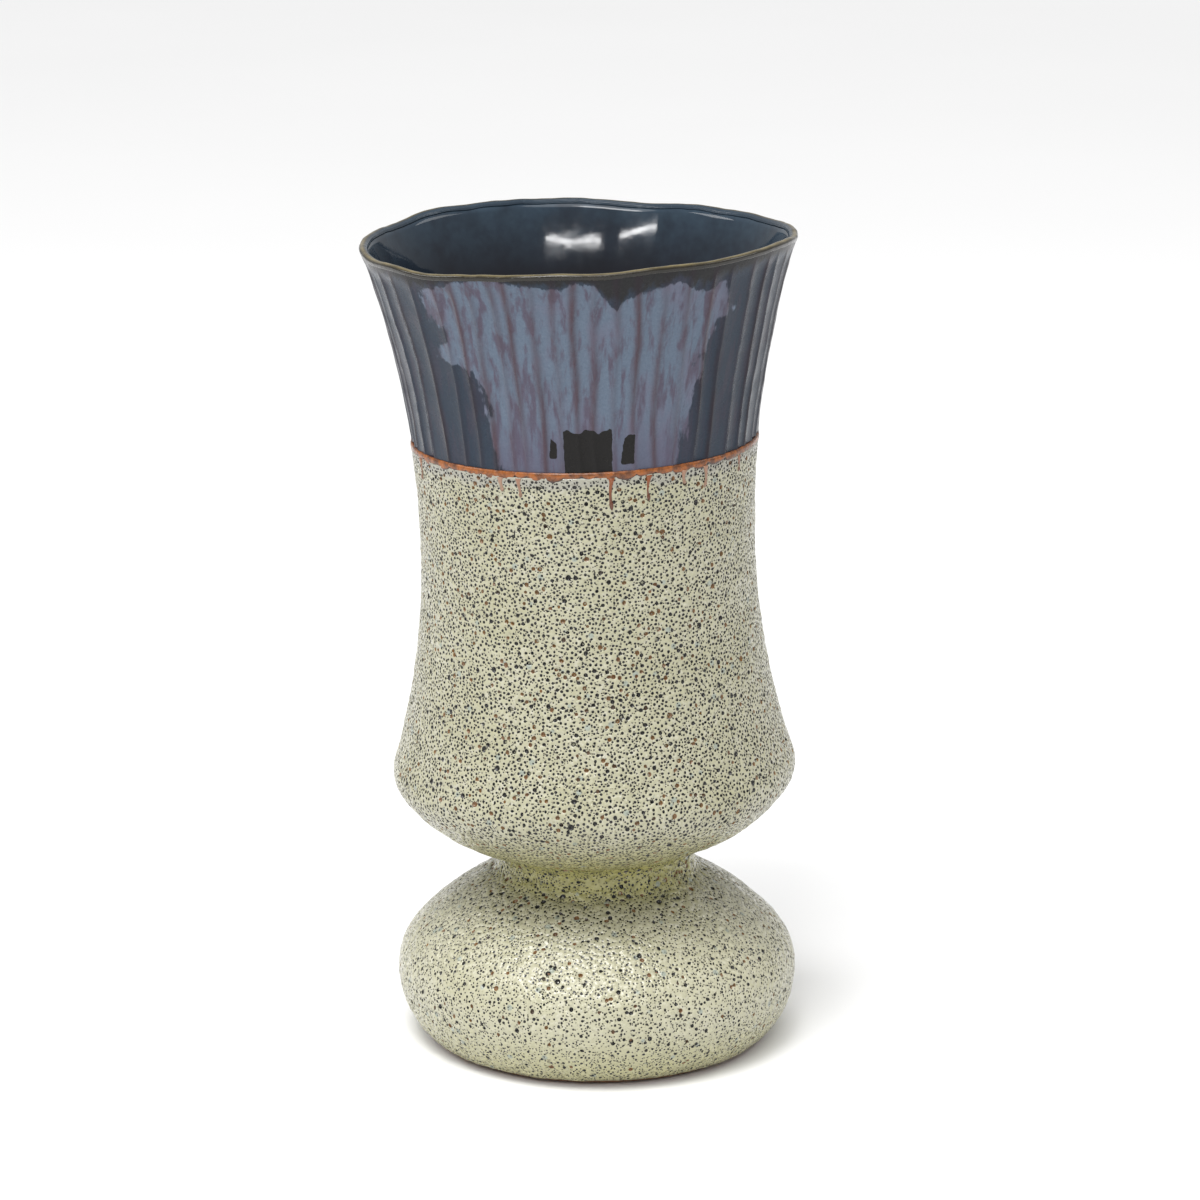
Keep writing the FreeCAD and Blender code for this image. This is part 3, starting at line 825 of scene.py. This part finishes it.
def make_iron_runs():
    """The short runs of iron glaze that hang from the line, each ending in a bead."""
    outline = Outline([outer_flare(LINE_LOW + 1)])
    points, faces, tints = [], [], []
    rows, around = 18, 10
    for degrees, length, strength in RUNS:
        bearing = math.radians(degrees)
        first = len(points)
        for row in range(rows):
            share = row / (rows - 1)
            bead = RUN_BEAD * math.exp(-(((share - BEAD_AT) / 0.1) ** 2))
            funnel = RUN_FUNNEL * math.exp(-share * length / 1.5)
            half = (RUN_HALF + funnel + bead) * min(1.0, 6 * (1.02 - share)) ** 0.5
            s = 0.3 + share * (length + 0.7)
            radius = outline.at(s)[0]
            wander = 0.3 * math.sin(degrees + 5 * share)
            for k in range(around):
                angle = math.tau * k / around
                rise = LAVA_COAT + 0.05 + (RUN_RISE + bead) * math.sin(angle) * min(1.0, half)
                offset = (wander + half * math.cos(angle)) / radius
                points.append(on_outline(outline, s, bearing + offset, rise))
                tints.append((share, strength, 1.0))
        for row in range(rows - 1):
            faces += ring_faces(first + row * around, first + (row + 1) * around, around)
        faces.append(tuple(range(first, first + around)))
        faces.append(tuple(reversed(range(first + (rows - 1) * around, first + rows * around))))
    piece = new_piece("iron_glaze_runs", points, faces, ["iron_drips"], iron_material())
    tint(piece, "iron", tints)
    return piece


# ---------- clay wall, rim and liner


def inner_outline(high):
    """The clay's inner face, from a height near the rim down to the neck."""
    return Outline([inner_flare(high)] + body_arcs(-WALL, INNER_END))


def make_clay_wall():
    """The thrown wall under the glazes, following the waves of the lip."""
    high = RIM_HEIGHT - CLAY_BELOW_RIM
    outer = Outline([outer_flare(high)] + body_arcs(0, OUTER_END))
    inner = inner_outline(high)

    def carve(bearing, radius, height):
        middle = WAIST_RADIUS + FLARE - math.sqrt(FLARE**2 - (height - WAIST_HEIGHT) ** 2) - WALL / 3
        if height > LINE_LOW and radius > middle:
            return radius - flute_depth(bearing, height) - 0.15, height
        return radius, height

    rows = face_rows(outer, 70) + face_rows(inner, 50)[::-1]
    points, faces = lathe(rows, 256, carve)
    return new_piece("clay_vessel_wall", points, faces, ["vessel_wall"], clay_material())


# how far the lip rises over the rim band's two sides, and how thick the band is
LIP_CROWN = 1.1
BAND_THICK = 0.8

# how many rows of the lip's section the golden edge fades over; the gold is partly thin glaze and partly
# a painted highlight on the crest
GOLD_ROWS = 1.6


def lip_rows():
    """The rim band's section: up the outside, over the thin rounded lip and down the inside."""
    low = RIM_HEIGHT - BAND_END_BELOW_RIM
    high = RIM_HEIGHT - BAND_TOP_BELOW_RIM
    outside = Outline([outer_flare(high, low)])
    inside = Outline([inner_flare(high, low)])
    out_rows = face_rows(outside, 5, RIM_COAT + 0.2)[::-1]
    in_rows = face_rows(inside, 5, -RIM_COAT)
    (out_r, out_h), (in_r, _) = out_rows[-1], in_rows[0]
    middle, half = (out_r + in_r) / 2, (out_r - in_r) / 2
    over = []
    for k in range(1, 10):
        angle = math.pi * k / 10
        over.append((middle + half * math.cos(angle), out_h + LIP_CROWN * math.sin(angle)))
    back = [(r + BAND_THICK, h) for r, h in in_rows[::-1][:3]]
    back += [(r - BAND_THICK, h) for r, h in out_rows[:3][::-1]]
    return out_rows + over + in_rows + back


def make_rim():
    """The thin iron-brown band over the lip."""

    def wobble(bearing, radius, height):
        swell = 0.3 * ripple(bearing, radius, height, 7, 3.0)
        return radius + 0.5 * swell, height + swell

    rows, columns = lip_rows(), 720
    points, faces = lathe(rows, columns, wobble)
    faces = [face[::-1] for face in faces]
    piece = new_piece("iron_rim_band", points, faces, ["rim_glaze"], rim_material())
    crest = max(range(len(rows)), key=lambda row: rows[row][1])
    tints = []
    for row in range(len(rows)):
        # the golden edge at the crest, partly thin glaze and partly a painted highlight
        edge = math.exp(-(((row - crest + 1) / GOLD_ROWS) ** 2))
        tints += [(edge, float(row > crest + 1), 0.0)] * columns
    tint(piece, "lip", tints)
    return piece


def make_liner():
    """The dark glossy glaze inside the vessel, down to the neck."""
    wall = inner_outline(RIM_HEIGHT - LINER_BELOW_RIM)
    glazed = face_rows(wall, 90, -LINER_COAT)
    behind = face_rows(wall, 90, 0.15)

    def uneven(bearing, radius, height):
        return radius + 0.14 * ripple(bearing, radius, height, 16, 9.0), height

    points, faces = lathe(glazed + behind[::-1], 360, uneven)
    faces = [face[::-1] for face in faces]
    material = liner_material()
    return new_piece("liner_glaze_in_vessel", points, faces, ["liner_vessel"], material)


# ---------- materials


def paint(red, green, blue):
    """A linear colour from the 0-255 values that a screen shows."""

    def linear(level):
        share = level / 255
        return share / 12.92 if share <= 0.04045 else ((share + 0.055) / 1.055) ** 2.4

    return (linear(red), linear(green), linear(blue), 1.0)


class Look:
    """Builds one node material, whose nodes read the surface's own coordinates."""

    def __init__(self, name):
        self.material = bpy.data.materials.new(name)
        self.material.use_nodes = True
        self.nodes = self.material.node_tree.nodes
        self.links = self.material.node_tree.links
        self.shader = self.nodes["Principled BSDF"]
        self.place = self.nodes.new("ShaderNodeTexCoord").outputs["Object"]

    def set(self, **values):
        """Sets constants on the shader, by the names of its inputs."""
        for name, value in values.items():
            self.shader.inputs[name.replace("_", " ")].default_value = value

    def fill(self, socket, value):
        """Links a socket to another, or sets it to a constant."""
        if isinstance(value, bpy.types.NodeSocket):
            self.links.new(value, socket)
        else:
            socket.default_value = value

    def node(self, kind, inputs, **settings):
        """A node with its settings made and its inputs set or linked."""
        made = self.nodes.new("ShaderNode" + kind)
        for name, value in settings.items():
            setattr(made, name, value)
        for name, value in inputs.items():
            self.fill(made.inputs[name], value)
        return made

    def stretched(self, scale):
        """The surface's coordinates, scaled by a different amount along each axis."""
        return self.node("Mapping", {"Vector": self.place, "Scale": scale}).outputs["Vector"]

    def noise(self, size, detail=3.0, roughness=0.5, place=None):
        """Noise from 0 to 1 with features about size millimetres across."""
        inputs = {
            "Vector": place or self.place,
            "Scale": 1 / (size * MM),
            "Detail": detail,
            "Roughness": roughness,
        }
        return self.node("TexNoise", inputs).outputs["Fac"]

    def patchy(self, size, low, high, detail=3.0):
        """A value that wanders from low to high in patches about size millimetres across."""
        return self.ramp(self.noise(size, detail), (0.35, low), (0.7, high))

    def cells(self, size):
        """The distance to the nearest of many scattered points, size millimetres apart."""
        inputs = {"Vector": self.place, "Scale": 1 / (size * MM), "Randomness": 1.0}
        return self.node("TexVoronoi", inputs).outputs["Distance"]

    def ramp(self, value, first, last):
        """A value turned to a grey that eases from one (position, grey) to another."""
        made = self.node("ValToRGB", {"Fac": value})
        made.color_ramp.interpolation = "EASE"
        for element, (position, grey) in zip(made.color_ramp.elements, (first, last)):
            element.position = position
            element.color = (grey, grey, grey, 1.0)
        return made.outputs["Color"]

    def math(self, operation, first, second):
        """Two numbers, or sockets, put through one operation."""
        return self.node("Math", {0: first, 1: second}, operation=operation).outputs[0]

    def times(self, first, second):
        return self.math("MULTIPLY", first, second)

    def mix(self, share, first, second):
        """Two colours mixed by a share from 0 to 1."""
        made = self.node("Mix", {}, data_type="RGBA")
        for name, value in (("Factor_Float", share), ("A_Color", first), ("B_Color", second)):
            self.fill(next(s for s in made.inputs if s.identifier == name), value)
        return next(s for s in made.outputs if s.identifier == "Result_Color")

    def channels(self, name):
        """The three numbers stored at each vertex under a name."""
        colour = self.node("Attribute", {}, attribute_name=name).outputs["Color"]
        return list(self.node("SeparateColor", {"Color": colour}).outputs)

    def finish(self, colour, roughness=None, height=None, depth=None):
        """Joins the colour, roughness and bump, whose depth is in millimetres, to the shader."""
        self.links.new(colour, self.shader.inputs["Base Color"])
        if roughness is not None:
            self.links.new(roughness, self.shader.inputs["Roughness"])
        if height is not None:
            bump = self.node("Bump", {"Height": height, "Distance": depth * MM, "Strength": 1.0})
            self.links.new(bump.outputs["Normal"], self.shader.inputs["Normal"])
        return self.material


@cache
def lava_material():
    """Pale cream-green lava glaze, pitted with burst bubbles, painted near-black inside as painted shade
    and golden where the clay body shows.
    """
    look = Look("lava_glaze")
    pit, warm, _ = look.channels("pit")
    olive_zone, lilac_and_shadow_zone, foot = look.channels("zone")
    pale = look.mix(look.noise(9, 4), paint(174, 171, 147), paint(160, 158, 132))
    fleck = look.ramp(look.noise(1.6, 2), (0.5, 0.0), (0.72, 0.6))
    pale = look.mix(fleck, pale, paint(188, 185, 171))
    cloud = look.patchy(26, 0.0, 0.5)
    pale = look.mix(cloud, pale, paint(155, 152, 121))
    # the bulb's glaze is painted lighter, as painted light on its upward-facing surface
    pale = look.mix(look.times(foot, 0.2), pale, paint(208, 205, 180))
    olive = look.mix(look.noise(5, 3), paint(176, 169, 102), paint(126, 125, 74))
    # the darker lilac under the iron line: partly the glaze's own tint, partly painted shadow under the
    # bead
    lilac = look.mix(look.noise(1.8, 3), paint(122, 122, 130), paint(148, 146, 142))
    glaze = look.mix(olive_zone, pale, olive)
    glaze = look.mix(lilac_and_shadow_zone, glaze, lilac)
    blot = look.ramp(look.cells(9), (0.1, 0.8), (0.16, 0.0))
    glaze = look.mix(blot, glaze, paint(140, 149, 140))
    # tiny pits that are only a bump: each is painted dark as painted shade of a hollow
    tiny = look.cells(1.1)
    open_tiny = look.ramp(tiny, (0.2, 1.0), (0.28, 0.0))
    tiny_pit_shade = look.times(open_tiny, look.math("SUBTRACT", 1.0, blot))
    floor = look.mix(look.noise(3, 2), paint(24, 22, 15), paint(48, 43, 30))
    glaze = look.mix(tiny_pit_shade, glaze, floor)
    gold = look.mix(look.noise(7, 2), paint(134, 100, 48), paint(104, 66, 40))
    # inside a pit: near-black as painted shade of the hollow, golden where the clay body shows
    well = look.mix(look.ramp(warm, (0.7, 0.0), (0.85, 1.0)), paint(14, 13, 10), gold)
    colour = look.mix(look.ramp(pit, (0.405, 0.0), (0.46, 1.0)), glaze, well)
    roughness = look.patchy(4, 0.22, 0.38)
    grain = look.times(look.noise(0.9, 2), 0.5)
    rims = look.ramp(tiny, (0.12, 0.0), (0.4, 1.0))
    relief = look.math("ADD", rims, grain)
    look.set(Coat_Weight=0.35, Coat_Roughness=0.12, Specular_IOR_Level=0.45)
    return look.finish(colour, roughness, relief, 0.3)


@cache
def collar_material():
    """Layered blue-grey glaze, breaking to purple-brown on the ridges of the flutes."""
    look = Look("blue_glaze")
    line, light, patch = look.channels("collar")
    shade, low, _ = look.channels("shade")
    streak = look.noise(2.4, 4, 0.6, look.stretched((1, 1, 0.12)))
    speck = look.noise(1.0, 3, 0.7)
    fringe = look.noise(3.2, 5, 0.6, look.stretched((1, 1, 0.3)))
    swing = look.times(look.math("SUBTRACT", fringe, 0.5), 0.9)
    cover = look.ramp(look.math("ADD", light, swing), (0.44, 0.0), (0.56, 1.0))
    cloud = look.noise(11, 3, 0.6, look.stretched((1, 1, 0.4)))
    pale = look.mix(speck, paint(76, 89, 106), paint(101, 113, 128))
    pale = look.mix(look.ramp(cloud, (0.45, 0.0), (0.72, 0.75)), pale, paint(98, 97, 114))
    veil = look.ramp(look.noise(3.4, 4, 0.6, look.stretched((1, 1, 0.07))), (0.46, 0.0), (0.64, 0.85))
    pale = look.mix(veil, pale, paint(76, 68, 82))
    pale = look.mix(look.times(low, 0.6), pale, paint(80, 76, 94))
    dark = look.mix(speck, paint(33, 43, 55), paint(47, 57, 70))
    dark = look.mix(look.ramp(cloud, (0.5, 0.0), (0.75, 0.7)), dark, paint(42, 40, 54))
    dark = look.mix(look.times(veil, 0.6), dark, paint(56, 52, 64))
    band = look.mix(cover, dark, pale)
    top = look.mix(speck, paint(18, 19, 21), paint(42, 42, 43))
    band = look.mix(look.ramp(look.math("ADD", shade, swing), (0.45, 0.0), (0.75, 1.0)), band, top)
    ridge_pale = look.mix(streak, paint(50, 38, 40), paint(84, 68, 78))
    ridge_dark = look.mix(streak, paint(30, 24, 27), paint(42, 34, 43))
    on_ridge = look.mix(cover, ridge_dark, ridge_pale)
    breaking = look.times(line, look.ramp(streak, (0.3, 0.65), (0.6, 1.0)))
    colour = look.mix(breaking, band, on_ridge)
    nibble = look.times(look.math("SUBTRACT", look.noise(2.6, 4, 0.6), 0.5), 0.45)
    eaten = look.math("ADD", patch, nibble)
    bare = look.ramp(eaten, (0.47, 0.0), (0.53, 1.0))
    colour = look.mix(bare, colour, look.mix(speck, paint(15, 14, 13), paint(26, 24, 23)))
    roughness = look.patchy(5, 0.2, 0.34, 4)
    look.set(Coat_Weight=0.06, Coat_Roughness=0.08, Specular_IOR_Level=0.14)
    return look.finish(colour, roughness, look.noise(1.4, 3), 0.05)


@cache
def iron_material():
    """Rust-orange iron glaze, paler and pinker where a run is thin."""
    look = Look("iron_glaze")
    along, strength, run = look.channels("iron")
    blotches = look.ramp(look.noise(3, 4, 0.6), (0.35, 0.0), (0.65, 1.0))
    rust = look.mix(blotches, paint(146, 84, 36), paint(86, 50, 28))
    line = look.mix(look.ramp(along, (0.6, 0.0), (0.86, 1.0)), rust, paint(58, 42, 38))
    thick = look.mix(look.ramp(along, (0.1, 0.0), (0.8, 1.0)), paint(126, 68, 32), paint(90, 54, 38))
    faint = look.mix(strength, paint(160, 134, 114), thick)
    colour = look.mix(run, line, faint)
    roughness = look.patchy(2, 0.22, 0.4)
    look.set(Coat_Weight=0.2, Coat_Roughness=0.1, Specular_IOR_Level=0.35)
    return look.finish(colour, roughness, look.noise(1.2, 3), 0.08)


@cache
def rim_material():
    """Olive-brown iron glaze, thin and golden along the edge of the lip, the gold partly a painted
    highlight on the crest.
    """
    look = Look("rim_glaze")
    edge, inside, _ = look.channels("lip")
    brown = look.mix(look.noise(7, 4, 0.6), paint(20, 19, 18), paint(40, 36, 28))
    brown = look.mix(inside, brown, look.mix(look.noise(9, 3), paint(32, 42, 53), paint(52, 66, 78)))
    gold = look.mix(look.noise(4, 4, 0.6), paint(78, 68, 42), paint(132, 120, 84))
    # gold along the lip's crest: partly thin glaze, partly a painted highlight
    gold_and_highlight = look.times(edge, look.ramp(look.noise(9, 3), (0.3, 0.5), (0.6, 1.0)))
    colour = look.mix(gold_and_highlight, brown, gold)
    roughness = look.patchy(3, 0.14, 0.3)
    look.set(Coat_Weight=0.15, Coat_Roughness=0.06, Specular_IOR_Level=0.3)
    return look.finish(colour, roughness, look.noise(3, 3), 0.12)


@cache
def liner_material():
    """Near-black blue glaze, breaking to teal near the mouth."""
    look = Look("liner_glaze")
    height = look.node("SeparateXYZ", {"Vector": look.place}).outputs["Z"]
    top = (JOINT + RIM_HEIGHT) * MM
    reach = {"Value": height, "From Min": top - 30 * MM, "From Max": top}
    near = look.node("MapRange", reach).outputs["Result"]
    deep = look.mix(look.noise(14, 3), paint(13, 13, 17), paint(26, 26, 34))
    teal = look.mix(look.noise(4, 4, 0.6), paint(38, 50, 64), paint(54, 70, 82))
    patchy = look.times(near, look.ramp(look.noise(16, 3), (0.25, 0.45), (0.65, 1.0)))
    colour = look.mix(patchy, deep, teal)
    roughness = look.patchy(6, 0.06, 0.11)
    look.set(Coat_Weight=0.2, Coat_Roughness=0.04, Specular_IOR_Level=0.22)
    return look.finish(colour, roughness, look.noise(9, 2), 0.06)


@cache
def clay_material():
    """Bare fired stoneware, brown and slightly gritty."""
    look = Look("stoneware")
    body = look.mix(look.noise(6, 4), paint(140, 106, 78), paint(108, 78, 56))
    grog = look.ramp(look.cells(1.1), (0.1, 1.0), (0.22, 0.0))
    colour = look.mix(grog, body, paint(82, 60, 46))
    roughness = look.ramp(look.noise(2, 3), (0.3, 0.72), (0.7, 0.9))
    return look.finish(colour, roughness, look.noise(0.7, 4), 0.1)


def dress(node, make):
    """Gives a CAD piece that nothing replaces a node material."""
    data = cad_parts[node].data
    data.materials.clear()
    data.materials.append(make())


@cache
def floor_material():
    """The plain pale floor."""
    look = Look("floor")
    colour = look.mix(look.noise(400, 2), paint(244, 244, 244), paint(247, 247, 247))
    look.set(Roughness=0.7)
    return look.finish(colour)


# ---------- the studio


# the floor's radius, and how far it lies below the foot so that the two faces don't fight
FLOOR_RADIUS = 8.0
FLOOR_DROP = 0.0002

# the height that the lights face, near the middle of the vase
LIT_HEIGHT = 0.16

# how bright the surround looks to the camera, and how much light it gives the vase
WORLD_SEEN = 1.0
WORLD_LIGHT = 0.5

# the soft boxes: bearing and elevation in degrees, distance, (width, height) and watts
SOFT_BOXES = {
    "strip_right": (4.5, 32, 1.9, (1.0, 0.025), 4),
    "strip_left": (-35, 33.7, 1.9, (0.74, 0.025), 3),
    "box_overhead": (-24, 62, 1.7, (0.7, 0.5), 15),
    "soft_box_left": (-95, 40, 1.7, (0.5, 0.6), 6),
    "soft_box_right": (100, 40, 1.7, (0.5, 0.6), 3),
}


def make_floor():
    """A wide round floor under the vase."""
    around = 64
    points = []
    for k in range(around):
        angle = math.tau * k / around
        points.append((FLOOR_RADIUS * math.sin(angle), FLOOR_RADIUS * math.cos(angle), -FLOOR_DROP))
    mesh = bpy.data.meshes.new("floor")
    mesh.from_pydata(points, [], [tuple(reversed(range(around)))])
    mesh.materials.append(floor_material())
    floor = add_object("floor", mesh)


def aim(thing, target):
    """Turns a camera or a light at its place to face a point."""
    thing.rotation_euler = (Vector(target) - thing.location).to_track_quat("-Z", "Y").to_euler()


def soft_box(name, bearing, elevation, distance, size, power):
    """A soft light on a sphere round the vase, unseen by the camera itself."""
    light = bpy.data.lights.new(name, "AREA")
    light.shape = "RECTANGLE"
    light.size, light.size_y = size
    light.energy = power
    box = add_object(name, light)
    turned, raised = math.radians(bearing), math.radians(elevation)
    flat = distance * math.cos(raised)
    height = LIT_HEIGHT + distance * math.sin(raised)
    box.location = (flat * math.sin(turned), -flat * math.cos(turned), height)
    box.visible_camera = False
    aim(box, (0, 0, LIT_HEIGHT))


def make_lights():
    """An even pale surround, whiter behind the vase than in its reflections, and soft boxes."""
    world = bpy.data.worlds.new("studio")
    world.use_nodes = True
    tree = world.node_tree
    background = tree.nodes["Background"]
    background.inputs["Color"].default_value = (1.0, 1.0, 1.0, 1.0)
    ray = tree.nodes.new("ShaderNodeLightPath")
    strength = tree.nodes.new("ShaderNodeMapRange")
    strength.inputs["To Min"].default_value = WORLD_LIGHT
    strength.inputs["To Max"].default_value = WORLD_SEEN
    tree.links.new(ray.outputs["Is Camera Ray"], strength.inputs["Value"])
    tree.links.new(strength.outputs["Result"], background.inputs["Strength"])
    bpy.context.scene.world = world
    daylight = bpy.data.lights.new("daylight", "SUN")
    daylight.energy = 1.6
    daylight.angle = math.radians(50)
    sky = add_object("daylight", daylight)
    sky.location = (-0.12, -0.5, 1.5)
    aim(sky, (0, 0, 0))
    for name, settings in SOFT_BOXES.items():
        soft_box(name, *settings)


def make_camera():
    """The camera at the photograph's angle, framing the whole vase."""
    distance, elevation = 1.65, math.radians(15.57)
    data = bpy.data.cameras.new("camera")
    data.lens = 126
    data.shift_x = 0.0025
    data.shift_y = 0.0417
    camera = add_object("camera", data)
    target = (0, 0, 0.1564)
    camera.location = (0, -distance * math.cos(elevation), target[2] + distance * math.sin(elevation))
    aim(camera, target)
    bpy.context.scene.camera = camera


make_camera()
make_lights()
make_floor()
make_clay_wall()
make_lava_on_vessel()
make_lava_on_foot()
make_collar()
make_iron_line()
make_iron_runs()
make_rim()
make_liner()
dress("foot_bulb", clay_material)
dress("neck_coil", clay_material)
dress("liner_foot", liner_material)
bpy.context.scene.view_settings.view_transform = "Standard"
